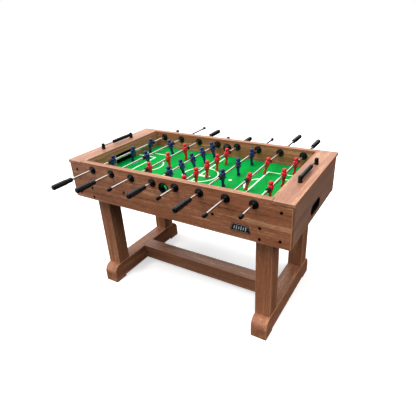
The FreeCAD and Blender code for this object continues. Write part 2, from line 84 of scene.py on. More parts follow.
def endMaterial(tree, colour, roughness, height, depth, **fixed):
    # the shader; depth is the relief's height in mm, and fixed holds what is even all over
    bump = addNode(tree, "ShaderNodeBump", {"Height": height, "Strength": 1.0, "Distance": depth * mm}, 0)
    inputs = {"Base Color": colour, "Roughness": roughness, "Normal": bump}
    inputs.update({key.replace("_", " "): value for key, value in fixed.items()})
    shader = addNode(tree, "ShaderNodeBsdfPrincipled", inputs, 0)
    addNode(tree, "ShaderNodeOutputMaterial", {"Surface": shader})


def speckle(tree, place, sizes, detail=2.0, shift=(0, 0, 0), warp=0.0):
    # a cloudy pattern whose grains measure sizes in mm along x, y and z
    scales = [1 / (size * mm) for size in sizes]
    fitted = addNode(tree, "ShaderNodeMapping", {"Vector": place, "Location": shift, "Scale": scales}, 0)
    return addNode(tree, "ShaderNodeTexNoise", {
        "Vector": fitted, "Scale": 1.0, "Detail": detail, "Roughness": 0.6, "Distortion": warp}, 0)


def tintBetween(tree, pattern, first, second):
    # a colour that follows a pattern from one hex value to another
    share = addNode(tree, rangeNode, {0: pattern, 1: 0.3, 2: 0.7}, 0)
    return addNode(tree, mixNode, {0: share, 6: hexColour(first), 7: hexColour(second)}, 2,
                   data_type="RGBA")


def sheenOf(tree, broad, fine, roughness, broadly, finely):
    # roughness that varies by a broad pattern and a fine one about its mean
    first = addNode(tree, rangeNode, {
        0: broad, 1: 0.3, 2: 0.7, 3: roughness - broadly, 4: roughness + broadly}, 0)
    second = addNode(tree, rangeNode, {0: fine, 1: 0.3, 2: 0.7, 3: -finely, 4: finely}, 0)
    return addNode(tree, mathNode, {0: first, 1: second}, 0, operation="ADD")


laminate = {  # melamine-faced board with a printed wood grain: satin, with pores pressed into the face
    "dark": "#472919", "middle": "#8a573c", "light": "#ba8b68", "edge": "#cfa07f",
    "figureLong": 620, "figureWide": 46, "streakLong": 230, "streakWide": 7,
    "fleckLong": 24, "fleckWide": 3.4, "flecks": 0.8,  # flecks and pores are drawn coarse, to show
    "poreLong": 34, "poreWide": 2.2, "poreDepth": 0.12, "poreShade": 0.45,
    "arris": 3.4, "roughness": 0.36}


def grainSizes(axis, long, wide):
    # a grain's sizes along x, y and z when it runs along one axis
    return [long if letter == axis else wide for letter in "xyz"]


def boardEdges(tree, place, corners, folded):
    # 1 on a board's arrises and 0 elsewhere; a folded axis has the board on both sides of the middle
    split = addNode(tree, "ShaderNodeSeparateXYZ", {0: place}).outputs
    inset = []
    for i, letter in enumerate("xyz"):
        value = split[i]
        low, high = corners[0][i], corners[1][i]
        if letter in folded:
            value = addNode(tree, mathNode, {0: value}, 0, operation="ABSOLUTE")
            low = folded[letter]
        off = addNode(tree, mathNode, {0: value, 1: (low + high) / 2}, 0, operation="SUBTRACT")
        off = addNode(tree, mathNode, {0: off}, 0, operation="ABSOLUTE")
        inset.append(addNode(tree, mathNode, {0: (high - low) / 2, 1: off}, 0, operation="SUBTRACT"))
    least = addNode(tree, mathNode, {0: inset[0], 1: inset[1]}, 0, operation="MINIMUM")
    most = addNode(tree, mathNode, {0: inset[0], 1: inset[1]}, 0, operation="MAXIMUM")
    rest = addNode(tree, mathNode, {0: most, 1: inset[2]}, 0, operation="MINIMUM")
    second = addNode(tree, mathNode, {0: least, 1: rest}, 0, operation="MAXIMUM")
    return addNode(tree, rangeNode, {0: second, 1: 0.0, 2: laminate["arris"] * mm, 3: 1.0, 4: 0.0}, 0)


def laminateBoard(name, grain, paintedLightTint, paintedLightShare, folded, corners, seed):
    # printed grain runs along one axis; the arrises are paler, partly where the print wears through and
    # partly a painted highlight where a rounded edge catches the light
    material, tree, place = startMaterial(name)
    draw = random.Random(seed)
    shift = [draw.uniform(-40, 40) for _ in range(3)]
    patterns = {}
    for part, detail, warp in (
        ("figure", 3.0, 0.7), ("streak", 5.0, 0.25), ("fleck", 2.0, 0.1), ("pore", 3.0, 0.0),
    ):
        sizes = grainSizes(grain, laminate[part + "Long"], laminate[part + "Wide"])
        patterns[part] = speckle(tree, place, sizes, detail, shift, warp)
    mixed = addNode(tree, mathNode, {0: patterns["figure"], 1: patterns["streak"]}, 0, operation="ADD")
    mixed = addNode(tree, mathNode, {0: patterns["fleck"], 1: laminate["flecks"], 2: mixed}, 0,
                    operation="MULTIPLY_ADD")
    mixed = addNode(tree, mathNode, {0: mixed, 1: 2 + laminate["flecks"]}, 0, operation="DIVIDE")
    colour = addNode(tree, "ShaderNodeValToRGB", {"Fac": mixed}, 0, [
        (0.37, laminate["dark"]), (0.465, laminate["middle"]),
        (0.525, laminate["middle"]), (0.62, laminate["light"])])
    pit = addNode(tree, rangeNode, {0: patterns["pore"], 1: 0.34, 2: 0.46, 3: 1.0, 4: 0.0}, 0)
    share = addNode(tree, mathNode, {0: pit, 1: laminate["poreShade"]}, 0, operation="MULTIPLY")
    colour = addNode(tree, mixNode, {0: share, 6: colour, 7: hexColour(laminate["dark"])}, 2,
                     data_type="RGBA")
    edges = boardEdges(tree, place, corners, folded)
    # the paler arrises: worn print, plus a painted highlight standing in for light caught on the edge
    worn = addNode(tree, rangeNode, {0: patterns["streak"], 1: 0.3, 2: 0.7, 3: 0.45, 4: 0.85}, 0)
    worn = addNode(tree, mathNode, {0: edges, 1: worn}, 0, operation="MULTIPLY")
    colour = addNode(tree, mixNode, {0: worn, 6: colour, 7: hexColour(laminate["edge"])}, 2,
                     data_type="RGBA")
    # the board is mixed towards its tint: painted light and shade, lighter or darker by how the board is lit
    colour = addNode(tree, mixNode, {0: paintedLightShare, 6: colour, 7: hexColour(paintedLightTint)}, 2, data_type="RGBA")
    rough = sheenOf(tree, patterns["streak"], patterns["fleck"], laminate["roughness"], 0.06, 0.02)
    rough = addNode(tree, mathNode, {0: pit, 1: 0.12, 2: rough}, 0, operation="MULTIPLY_ADD")
    height = addNode(tree, mathNode, {0: patterns["streak"], 1: 0.3}, 0, operation="MULTIPLY")
    height = addNode(tree, mathNode, {0: height, 1: pit}, 0, operation="SUBTRACT")
    endMaterial(tree, colour, rough, height, laminate["poreDepth"])
    return material


def mouldedPlastic(name, dark, light, roughness, grain=0.9, depth=0.05, **fixed):
    # injection-moulded ABS: an even colour with faint flow clouds and the mould's texture, drawn coarse
    material, tree, place = startMaterial(name)
    flow = speckle(tree, place, (14, 14, 14), 3.0)
    skin = speckle(tree, place, (grain,) * 3, 2.0)
    colour = tintBetween(tree, flow, dark, light)
    rough = sheenOf(tree, flow, skin, roughness, 0.05, 0.04)
    endMaterial(tree, colour, rough, skin, depth, IOR=1.5, **fixed)
    return material


def platedSteel(name, dark, light, roughness, along="y", depth=0.01):
    # drawn steel under a thin plating or oxide: long faint draw lines and a few duller patches
    material, tree, place = startMaterial(name)
    lines = speckle(tree, place, grainSizes(along, 60, 0.8), 3.0)
    dull = speckle(tree, place, (25, 25, 25), 4.0)
    colour = tintBetween(tree, dull, dark, light)
    endMaterial(tree, colour, sheenOf(tree, lines, dull, roughness, 0.03, 0.03), lines, depth, Metallic=1.0)
    return material


def sawnSoftwood(name):
    # pine battens and blocks: pale, matt, with annual rings as soft long stripes
    material, tree, place = startMaterial(name)
    rings = speckle(tree, place, (160, 5, 5), 4.0, (0, 0, 0), 0.5)
    fuzz = speckle(tree, place, (12, 0.9, 0.9), 2.0)
    colour = addNode(tree, "ShaderNodeValToRGB", {"Fac": rings}, 0, [
        (0.3, "#b48652"), (0.5, "#d2ad7c"), (0.7, "#e2c79b")])
    endMaterial(tree, colour, sheenOf(tree, rings, fuzz, 0.68, 0.06, 0.02), fuzz, 0.15)
    return material


field = {  # printed melamine playing surface: a vivid satin green, with painted shade that darkens it towards its walls
    "green": "#008231", "deep": "#00642c", "bright": "#008b38", "line": "#e4f2df",
    "level": 743.2, "halfLong": 594, "halfWide": 334, "rim": 0.09}


def printedField(name):
    material, tree, place = startMaterial(name)
    cloud = speckle(tree, place, (180, 180, 180), 3.0)
    dots = speckle(tree, place, (2.5, 2.5, 2.5), 2.0)
    split = addNode(tree, "ShaderNodeSeparateXYZ", {0: place}).outputs
    away = []
    for i, half in enumerate((field["halfLong"], field["halfWide"])):
        off = addNode(tree, mathNode, {0: split[i]}, 0, operation="ABSOLUTE")
        away.append(addNode(tree, mathNode, {0: half * mm, 1: off}, 0, operation="SUBTRACT"))
    nearest = addNode(tree, mathNode, {0: away[0], 1: away[1]}, 0, operation="MINIMUM")
    # painted shade: near the walls the green is mixed towards the deep green, where the walls' shade falls
    rim = addNode(tree, rangeNode, {0: nearest, 1: 0.0, 2: field["rim"], 3: 0.7, 4: 0.0}, 0)
    colour = tintBetween(tree, cloud, field["green"], field["bright"])
    colour = addNode(tree, mixNode, {0: rim, 6: colour, 7: hexColour(field["deep"])}, 2, data_type="RGBA")
    endMaterial(tree, colour, sheenOf(tree, cloud, dots, 0.39, 0.05, 0.03), dots, 0.03,
                IOR=1.5, Specular_IOR_Level=0.03)
    return material


def screenInk(name, code, worn):
    # thick matt ink laid through a screen: near even, a little thin in places
    material, tree, place = startMaterial(name)
    thin = speckle(tree, place, (9, 9, 9), 4.0)
    weave = speckle(tree, place, (1.2, 1.2, 1.2), 1.0)
    colour = tintBetween(tree, thin, code, worn)
    endMaterial(tree, colour, sheenOf(tree, thin, weave, 0.48, 0.06, 0.02), weave, 0.02)
    return material


def softRubber(name):
    # black moulded rubber: dull, with a dusty bloom in patches
    material, tree, place = startMaterial(name)
    bloom = speckle(tree, place, (8, 8, 8), 4.0)
    skin = speckle(tree, place, (0.7, 0.7, 0.7), 2.0)
    colour = tintBetween(tree, bloom, "#0a0a0b", "#171718")
    endMaterial(tree, colour, sheenOf(tree, bloom, skin, 0.58, 0.08, 0.02), skin, 0.08, IOR=1.52)
    return material


finishes = {
    # satin black with soft highlights, and the grips a shade greyer from handling
    "blackAbs": mouldedPlastic("blackAbs", "#030405", "#090a0c", 0.34, Specular_IOR_Level=0.4),
    "gripAbs": mouldedPlastic("gripAbs", "#050608", "#0c0e10", 0.32, 1.2, 0.06, Specular_IOR_Level=0.45),
    # deep glossy colours under a thin clear skin
    "blueAbs": mouldedPlastic("blueAbs", "#061240", "#091a52", 0.2, 1.6, 0.02, Coat_Weight=0.25),
    "redAbs": mouldedPlastic("redAbs", "#a80818", "#bd0d1f", 0.2, 1.6, 0.02, Coat_Weight=0.25),
    # baked paint on a thin plate: even and nearly matt
    "platePaint": mouldedPlastic("platePaint", "#08080a", "#111114", 0.4, 0.8, 0.03),
    "rubber": softRubber("rubber"),
    # a mirror for the room, a grey half-dull metal and a near-black one with a dull gleam
    "chromedTube": platedSteel("chromedTube", "#d8d2ce", "#eae5e2", 0.1),
    "zincSteel": platedSteel("zincSteel", "#9aa0a4", "#c6cacd", 0.34, "z"),
    "blackOxide": platedSteel("blackOxide", "#1a1716", "#332d2a", 0.36, "z", 0.02),
    "softwood": sawnSoftwood("softwood"),
    "fieldGreen": printedField("fieldGreen"),
    "fieldInk": screenInk("fieldInk", field["line"], "#cde2c9"),
    "plateInk": screenInk("plateInk", "#c9c9c4", "#a8a8a4"),
}


def giveFinish(node, material):
    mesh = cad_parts[node].data
    mesh.materials.clear()
    mesh.materials.append(material)


innerX = 0.582  # the face nearest the middle of each rail and goal wall
boards = {  # board: grain axis, a tint of painted light and shade and how much of it, which lightens or darkens the board for how it is lit, and where an axis with both ends folds
    "front_side_panel": ("x", "#8b583e", 0.0, {}),
    "back_side_panel": ("x", "#8b583e", 0.0, {}),
    "left_end_panel": ("y", "#a99a92", 0.25, {}),
    "right_end_panel": ("y", "#a99a92", 0.25, {}),
    "end_rails": ("y", "#c9a794", 0.1, {"x": innerX}),
    "goal_walls": ("y", "#86835e", 0.1, {"x": innerX}),
    **{leg + "_leg": ("z", "#9a6a4c", 0.12, {})
       for leg in ("right_front", "left_front", "right_back", "left_back")},
    **{side + "_foot_beam": ("y", "#8b6a56", 0.1, {}) for side in ("right", "left")},
    "stretcher": ("x", "#a08474", 0.1, {}),
}
for seed, (node, (grain, paintedLightTint, paintedLightShare, folded)) in enumerate(boards.items()):
    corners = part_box(node)
    giveFinish(node, laminateBoard("laminate_" + node, grain, paintedLightTint, paintedLightShare, folded, corners, seed))
for node, finish in (
    ("mounting_blocks", "softwood"), ("playfield_battens", "softwood"), ("trestle_studs", "zincSteel"),
    ("playfield", "fieldGreen"), ("goal_boxes", "blackAbs"), ("ball_return_cups", "blackAbs"),
    ("front_plate", "platePaint"), ("scorer_rods", "blackOxide"),
):
    giveFinish(node, finishes[finish])
for number in range(1, 9):
    giveFinish(f"rod_{number}_tube", finishes["chromedTube"])
print("materials made")


def addLathe(work, profile, steps=40, ring=False):
    # turns a profile of (height, radius) in mm round local z; radius 0 is a pole, and a third
    # value of 6 makes that ring a hexagon
    loops = []
    for entry in profile:
        height, radius = entry[:2]
        if radius == 0:
            loops.append([work.verts.new((0, 0, height * mm))])
            continue
        loop = []
        for i in range(steps):
            angle = 2 * math.pi * i / steps
            reach = radius
            if len(entry) > 2:
                part = 2 * math.pi / entry[2]
                reach = radius * math.cos(part / 2) / math.cos(angle % part - part / 2)
            x, y = reach * mm * math.cos(angle), reach * mm * math.sin(angle)
            loop.append(work.verts.new((x, y, height * mm)))
        loops.append(loop)
    pairs = list(zip(loops, loops[1:])) + ([(loops[-1], loops[0])] if ring else [])
    for lower, upper in pairs:
        for i in range(steps):
            j = (i + 1) % steps
            corners = [lower[i % len(lower)], lower[j % len(lower)],
                       upper[j % len(upper)], upper[i % len(upper)]]
            corners = list(dict.fromkeys(corners))  # a pole gives the same corner twice
            if len(corners) > 2:
                work.faces.new(corners)


def addLoft(work, rings, steps=20):
    # a closed skin through level rings: height, centre x, centre y, half depth, half width, squareness
    loops = []
    for height, centreX, centreY, halfX, halfY, power in rings:
        loop = []
        for i in range(steps):
            angle = 2 * math.pi * i / steps
            c, s = math.cos(angle), math.sin(angle)
            x = centreX + halfX * math.copysign(abs(c) ** (2 / power), c)
            y = centreY + halfY * math.copysign(abs(s) ** (2 / power), s)
            loop.append(work.verts.new((x * mm, y * mm, height * mm)))
        loops.append(loop)
    for lower, upper in zip(loops, loops[1:]):
        for i in range(steps):
            j = (i + 1) % steps
            work.faces.new((lower[i], lower[j], upper[j], upper[i]))
    work.faces.new(list(reversed(loops[0])))
    work.faces.new(loops[-1])


def addBall(work, centre, radii):
    size = Matrix.Diagonal([r * mm for r in radii] + [1])
    bmesh.ops.create_uvsphere(work, u_segments=24, v_segments=16, radius=1.0,
                              matrix=Matrix.Translation([c * mm for c in centre]) @ size)


def closeMesh(work, name):
    # merges doubles, turns the faces outwards and gives the mesh
    bmesh.ops.remove_doubles(work, verts=work.verts, dist=0.00001)
    bmesh.ops.recalc_face_normals(work, faces=work.faces)
    mesh = bpy.data.meshes.new(name)
    work.to_mesh(mesh)
    work.free()
    return mesh


def latheMesh(name, profile, steps=40, ring=False):
    work = bmesh.new()
    addLathe(work, profile, steps, ring)
    return closeMesh(work, name)


def helperObject(mesh):
    helper = bpy.data.objects.new(mesh.name, mesh)
    bpy.context.scene.collection.objects.link(helper)
    return helper


def plainMesh(helper):
    # what an object looks like with its modifiers, as a mesh; the object goes
    evaluated = helper.evaluated_get(bpy.context.evaluated_depsgraph_get())
    mesh = bpy.data.meshes.new_from_object(evaluated)
    bpy.data.objects.remove(helper)
    return mesh


def runTree(tree, mesh, values):
    # runs a node tree on a mesh, with its inputs by name, and gives the plain mesh
    helper = helperObject(mesh)
    modifier = helper.modifiers.new("nodes", "NODES")
    modifier.node_group = tree
    names = {item.name: item.identifier for item in tree.interface.items_tree if item.in_out == "INPUT"}
    for name, value in values.items():
        modifier[names[name]] = value
    return plainMesh(helper)


def startTree(name, inputs):
    # a geometry tree with a mesh in, a mesh out and named inputs
    tree = bpy.data.node_groups.new(name, "GeometryNodeTree")
    tree.interface.new_socket("Base", in_out="INPUT", socket_type="NodeSocketGeometry")
    for title, kind in inputs:
        tree.interface.new_socket(title, in_out="INPUT", socket_type="NodeSocket" + kind)
    tree.interface.new_socket("Made", in_out="OUTPUT", socket_type="NodeSocketGeometry")
    return tree, addNode(tree, "NodeGroupInput").outputs


def endTree(tree, geometry, material):
    real = addNode(tree, "GeometryNodeRealizeInstances", {0: geometry}, 0)
    painted = addNode(tree, "GeometryNodeSetMaterial", {"Geometry": real, "Material": material}, 0)
    addNode(tree, "NodeGroupOutput", {0: painted})


def spreadTree():
    # one copy of a shape on every point, turned as the point's own turn says, with a random spin
    tree, given = startTree("spreadShapes", [
        ("Shape", "Object"), ("Spin Range", "Float"), ("Seed", "Int"), ("Finish", "Material")])
    shape = addNode(tree, "GeometryNodeObjectInfo", {"Object": given["Shape"]}, "Geometry")
    turn = addNode(tree, "GeometryNodeInputNamedAttribute", {"Name": "turn"}, 0, data_type="FLOAT_VECTOR")
    facing = addNode(tree, "FunctionNodeEulerToRotation", {0: turn}, 0)
    low = addNode(tree, mathNode, {0: given["Spin Range"], 1: -1.0}, 0, operation="MULTIPLY")
    chance = addNode(tree, "FunctionNodeRandomValue", {
        2: low, 3: given["Spin Range"], "Seed": given["Seed"]}, 1, data_type="FLOAT")
    spin = addNode(tree, "FunctionNodeAxisAngleToRotation", {0: (0, 0, 1), 1: chance}, 0)
    both = addNode(tree, "FunctionNodeRotateRotation", {0: facing, 1: spin}, 0, rotation_space="LOCAL")
    points = addNode(tree, "GeometryNodeMeshToPoints", {0: given["Base"]}, 0)
    copies = addNode(tree, "GeometryNodeInstanceOnPoints", {
        "Points": points, "Instance": shape, "Rotation": both}, 0)
    endTree(tree, copies, given["Finish"])
    return tree


def fluteTree():
    # sinks even flutes into a turned shape between two heights, outside a given radius
    tree, given = startTree("cutFlutes", [
        ("Flutes", "Float"), ("Depth", "Float"), ("Start", "Float"), ("End", "Float"),
        ("Fade", "Float"), ("Outside", "Float"), ("Finish", "Material")])
    where = addNode(tree, "GeometryNodeInputPosition", out=0)
    split = addNode(tree, "ShaderNodeSeparateXYZ", {0: where}).outputs
    angle = addNode(tree, mathNode, {0: split[1], 1: split[0]}, 0, operation="ARCTAN2")
    wave = addNode(tree, mathNode, {0: angle, 1: given["Flutes"]}, 0, operation="MULTIPLY")
    wave = addNode(tree, mathNode, {0: wave}, 0, operation="COSINE")
    wave = addNode(tree, mathNode, {0: wave, 1: 0.5, 2: 0.5}, 0, operation="MULTIPLY_ADD")
    wave = addNode(tree, mathNode, {0: wave, 1: 0.6}, 0, operation="POWER")
    flat = addNode(tree, "ShaderNodeCombineXYZ", {0: split[0], 1: split[1], 2: 0.0}, 0)
    radius = addNode(tree, "ShaderNodeVectorMath", {0: flat}, "Value", operation="LENGTH")
    away = addNode(tree, "ShaderNodeVectorMath", {0: flat}, 0, operation="NORMALIZE")
    share = addNode(tree, mathNode, {0: radius, 1: given["Outside"]}, 0, operation="GREATER_THAN")
    for edge, inwards in (("Start", "ADD"), ("End", "SUBTRACT")):
        full = addNode(tree, mathNode, {0: given[edge], 1: given["Fade"]}, 0, operation=inwards)
        rise = addNode(tree, rangeNode, {0: split[2], 1: given[edge], 2: full}, 0)
        share = addNode(tree, mathNode, {0: share, 1: rise}, 0, operation="MULTIPLY")
    share = addNode(tree, mathNode, {0: share, 1: wave}, 0, operation="MULTIPLY")
    inwards = addNode(tree, mathNode, {0: given["Depth"], 1: -1.0}, 0, operation="MULTIPLY")
    sink = addNode(tree, mathNode, {0: share, 1: inwards}, 0, operation="MULTIPLY")
    offset = addNode(tree, "ShaderNodeVectorMath", {0: away, "Scale": sink}, 0, operation="SCALE")
    moved = addNode(tree, "GeometryNodeSetPosition", {"Geometry": given["Base"], "Offset": offset}, 0)
    endTree(tree, moved, given["Finish"])
    return tree


def beadTree():
    # a row of rounded rings threaded along y, one on each step from the base point
    tree, given = startTree("threadBeads", [
        ("Count", "Int"), ("Pitch", "Float"), ("Outer Radius", "Float"), ("Bore Radius", "Float"),
        ("Length", "Float"), ("Rounding", "Float"), ("Finish", "Material")])
    outer, bore = given["Outer Radius"], given["Bore Radius"]
    middle = addNode(tree, mathNode, {0: outer, 1: bore}, 0, operation="ADD")
    middle = addNode(tree, mathNode, {0: middle, 1: 0.5}, 0, operation="MULTIPLY")
    wall = addNode(tree, mathNode, {0: outer, 1: bore}, 0, operation="SUBTRACT")
    hoop = addNode(tree, "GeometryNodeCurvePrimitiveCircle", {"Resolution": 32, "Radius": middle}, 0)
    section = addNode(tree, "GeometryNodeCurvePrimitiveQuadrilateral", {
        "Width": wall, "Height": given["Length"]}, 0)
    rounded = addNode(tree, "GeometryNodeFilletCurve", {
        "Curve": section, "Radius": given["Rounding"]}, mode="POLY")
    rounded.inputs["Count"].default_value = 3
    bead = addNode(tree, "GeometryNodeCurveToMesh", {
        "Curve": hoop, "Profile Curve": rounded.outputs[0]}, 0)
    lying = addNode(tree, "GeometryNodeTransform", {"Geometry": bead, "Rotation": (math.pi / 2, 0, 0)}, 0)
    step = addNode(tree, "ShaderNodeCombineXYZ", {0: 0.0, 1: given["Pitch"], 2: 0.0}, 0)
    row = addNode(tree, "GeometryNodeMeshLine", {"Count": given["Count"], "Offset": step}, 0)
    string = addNode(tree, "GeometryNodeInstanceOnPoints", {"Points": row, "Instance": lying}, 0)
    points = addNode(tree, "GeometryNodeMeshToPoints", {0: given["Base"]}, 0)
    strings = addNode(tree, "GeometryNodeInstanceOnPoints", {"Points": points, "Instance": string}, 0)
    endTree(tree, strings, given["Finish"])
    return tree


def lineTree():
    # lays a flat strip of ink along every edge of the base mesh
    tree, given = startTree("inkLines", [
        ("Line Width", "Float"), ("Ink Height", "Float"), ("Finish", "Material")])
    path = addNode(tree, "GeometryNodeMeshToCurve", {0: given["Base"]}, 0)
    level = addNode(tree, "GeometryNodeSetCurveNormal", {0: path}, 0, mode="Z_UP")
    section = addNode(tree, "GeometryNodeCurvePrimitiveQuadrilateral", {
        "Width": given["Line Width"], "Height": given["Ink Height"]}, 0)
    strip = addNode(tree, "GeometryNodeCurveToMesh", {
        "Curve": level, "Profile Curve": section, "Fill Caps": True}, 0)
    endTree(tree, strip, given["Finish"])
    return tree


trees = {"spread": spreadTree(), "flutes": fluteTree(), "beads": beadTree(), "lines": lineTree()}


def pointMesh(name, places, turns=None):
    # bare points in metres, each with its turn as an attribute
    mesh = bpy.data.meshes.new(name)
    mesh.from_pydata([tuple(place) for place in places], [], [])
    attribute = mesh.attributes.new("turn", "FLOAT_VECTOR", "POINT")
    for i, turn in enumerate(turns or [(0, 0, 0)] * len(places)):
        attribute.data[i].vector = turn
    return mesh


def spread(name, shape, places, turns, finish, spin=0.0, seed=1):
    return runTree(trees["spread"], pointMesh(name, places, turns), {
        "Shape": shape, "Spin Range": float(spin), "Seed": seed, "Finish": finishes[finish]})


def keepPiece(name, mesh, body, replaced=(), sharp=32):
    # a finished piece: smooth but for its sharp edges, riding on its body
    mesh.name = name
    mesh.polygons.foreach_set("use_smooth", [True] * len(mesh.polygons))
    mesh.set_sharp_from_angle(angle=math.radians(sharp))
    piece = bpy.data.objects.new(name, mesh)
    bpy.context.scene.collection.objects.link(piece)
    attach(piece, body)
    if replaced:
        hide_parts(*replaced)
    return piece


def dropHelpers(*helpers):
    for helper in helpers:
        bpy.data.objects.remove(helper)


# a shape's local z turned to point along -y or +y
towards = {-1: (math.pi / 2, 0, 0), 1: (-math.pi / 2, 0, 0)}


man = {"voxel": 0.7, "smoothing": 5, "keepShare": 0.26, "hub": 10.6, "hubHalf": 17.4, "halfWide": 18}


def manShape():
    # one moulded man facing +x, with the rod's axis at his chest
    work = bmesh.new()
    addLoft(work, [(-67, 2.5, 0, 9.3, 9.7, 4), (-63, 2.6, 0, 9.7, 10, 4), (-56, 2.1, 0, 8.6, 9.8, 3.5),
                   (-51, 0.6, 0, 6.8, 9.2, 3), (-47, 0, 0, 5.4, 8.2, 2.6)])
    for side in (-1, 1):
        addLoft(work, [(-54, 0.6, 4.6 * side, 5.6, 4.8, 2.4), (-47, 0, 4.6 * side, 5.1, 4.6, 2.2),
                       (-40, -0.9, 5.0 * side, 6.4, 5.2, 2.2), (-31, 0.3, 5.2 * side, 6.2, 5.0, 2.2),
                       (-24, 0.4, 5.6 * side, 7.6, 5.8, 2.2), (-14, 0, 5.4 * side, 8.0, 5.4, 2.2)])
        for i in range(11):
            t = i / 10
            addBall(work, (0.2 + 8.0 * t * t, side * (13.8 - 0.5 * t), 12 - 25.5 * t), (4.3 - 0.6 * t,) * 3)
        addBall(work, (10.6, side * 12.8, -15.0), (4.4, 3.8, 4.4))
        addBall(work, (-0.6, side * 12.0, 25.0), (2.5, 1.5, 3.1))
    addLoft(work, [(-27, 0, 0, 8.8, 11.8, 2.6), (-26, 0, 0, 9.8, 12.8, 2.6), (-18, 0, 0, 11.8, 13.6, 2.5),
                   (-13, 0.1, 0, 12.2, 13.4, 2.4), (-12, 0.1, 0, 11.8, 13.0, 2.4),
                   (-7, 0.4, 0, 14.2, 14.4, 2.4), (1, 0.4, 0, 15.8, 15.6, 2.4),
                   (8, 0.3, 0, 15.4, 15.8, 2.4), (13, 0, 0, 13.0, 14.6, 2.3),
                   (16.2, -0.3, 0, 9.4, 11.6, 2.1), (18.2, -0.4, 0, 6.4, 7.6, 2)])
    addLoft(work, [(14, -0.4, 0, 7.0, 7.0, 2), (22, -0.1, 0, 6.6, 6.6, 2)])
    addBall(work, (0.6, 0, 25.2), (12.2, 11.4, 12.0))
    addBall(work, (-0.9, 0, 26.9), (12.2, 12.0, 10.3))
    addBall(work, (12.4, 0, 24.0), (1.8, 1.6, 2.2))
    hub = bmesh.ops.create_cone(work, cap_ends=True, segments=40, radius1=man["hub"] * mm,
                                radius2=man["hub"] * mm, depth=2 * man["hubHalf"] * mm)
    bmesh.ops.rotate(work, verts=hub["verts"], cent=(0, 0, 0), matrix=Matrix.Rotation(math.pi / 2, 3, "X"))
    bmesh.ops.recalc_face_normals(work, faces=work.faces)
    mesh = bpy.data.meshes.new("manShape")
    work.to_mesh(mesh)
    work.free()
    helper = helperObject(mesh)
    skin = helper.modifiers.new("skin", "REMESH")
    skin.mode = "VOXEL"
    skin.voxel_size = man["voxel"] * mm
    soft = helper.modifiers.new("soft", "SMOOTH")
    soft.iterations = man["smoothing"]
    thin = helper.modifiers.new("thin", "DECIMATE")
    thin.ratio = man["keepShare"]
    return helperObject(plainMesh(helper))


rods = {  # rod number: team, men, lean of the feet towards +x in degrees
    1: ("blue", 3, -11), 2: ("blue", 2, 13), 3: ("red", 3, 5), 4: ("blue", 5, 13),
    5: ("red", 5, -3), 6: ("blue", 3, 0), 7: ("red", 2, -13), 8: ("red", 3, -3)}

screw = {"radius": 3.1, "height": 1.7, "socket": 1.5, "back": 14.8}
screwHelper = helperObject(latheMesh("screwShape", [
    (-0.8, 0), (-0.8, 2.6), (0, screw["radius"]), (0.9, screw["radius"]), (1.5, 2.5), (screw["height"], 1.9),
    (screw["height"], screw["socket"], 6), (0.6, screw["socket"], 6), (0.6, 0)], 24))
manHelper = manShape()
for number, (team, count, lean) in rods.items():
    low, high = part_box(f"rod_{number}_players")
    tubeLow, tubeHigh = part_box(f"rod_{number}_tube")
    x, z = (tubeLow.x + tubeHigh.x) / 2, (tubeLow.z + tubeHigh.z) / 2
    first, last = low.y + man["halfWide"] * mm, high.y - man["halfWide"] * mm
    places = [(x, first + (last - first) * i / (count - 1), z) for i in range(count)]
    tilt = math.radians(lean)
    turn = (0, -tilt, 0) if team == "blue" else (0, tilt, math.pi)
    mesh = spread("men", manHelper, places, [turn] * count, team + "Abs")
    keepPiece(f"rod_{number}_men", mesh, f"rod_{number}", [f"rod_{number}_players"], 80)
    # the screw at each man's back holds him to the rod; its z points out of his back
    facing = 1 if team == "blue" else -1
    out = Matrix.Rotation(-tilt, 3, "Y") @ Vector((-facing, 0, 0))
    turn = out.to_track_quat("Z", "Y").to_euler()
    spots = [Vector(place) + out * screw["back"] * mm for place in places]
    mesh = spread("manScrews", screwHelper, spots, [tuple(turn)] * count, "zincSteel", math.pi, number)
    keepPiece(f"rod_{number}_man_screws", mesh, f"rod_{number}")
dropHelpers(manHelper, screwHelper)
print("men made")


grip = {"length": 127, "radius": 15.2, "neckRadius": 13.6, "neck": 36, "bore": 6.4, "plug": 10,
        "flutes": 10, "fluteDepth": 1.1}
cap = {"length": 25, "radius": 10.2, "bore": 6.4, "plug": 5}
bumper = {"length": 20, "radius": 12, "bore": 6.4}


def gripShape():
    # local z runs from the rod's side out to the end
    r, n, long = grip["radius"], grip["neckRadius"], grip["length"]
    profile = [(0, grip["bore"]), (0, n - 1.4), (0.5, n - 0.6), (1.6, n)]
    profile += [(grip["neck"] * i / 4, n) for i in range(1, 4)]
    profile += [(grip["neck"] - 3, n), (grip["neck"] - 1, n + 0.7), (grip["neck"] + 1, r)]
    profile += [(grip["neck"] + 4 + (long - grip["neck"] - 12) * i / 12, r) for i in range(13)]
    profile += [(long - 5.5, r - 0.25), (long - 3.2, r - 1.1), (long - 1.4, r - 2.6), (long - 0.4, r - 4.6),
                (long, r - 6.4), (long - 0.7, r - 7.0), (long - 0.7, 0), (long - grip["plug"], 0),
                (long - grip["plug"], grip["bore"])]
    mesh = latheMesh("gripShape", profile, 80, True)
    fluted = runTree(trees["flutes"], mesh, {
        "Flutes": float(grip["flutes"]), "Depth": grip["fluteDepth"] * mm, "Start": (grip["neck"] + 2) * mm,
        "End": (long - 5) * mm, "Fade": 5 * mm, "Outside": (r - 1) * mm, "Finish": finishes["gripAbs"]})
    return helperObject(fluted)


def capShape():
    r, long = cap["radius"], cap["length"]
    return helperObject(latheMesh("capShape", [
        (0, cap["bore"]), (0, r - 1.6), (0.6, r - 0.7), (2, r - 0.2), (3, r), (7, r), (7.6, r - 0.5),
        (8.8, r - 0.5), (9.4, r), (long - 6, r), (long - 3.4, r - 0.7), (long - 1.4, r - 2.2),
        (long - 0.3, r - 4.4), (long, r - 6.5), (long, 0), (long - cap["plug"], 0),
        (long - cap["plug"], cap["bore"])], 40, True))


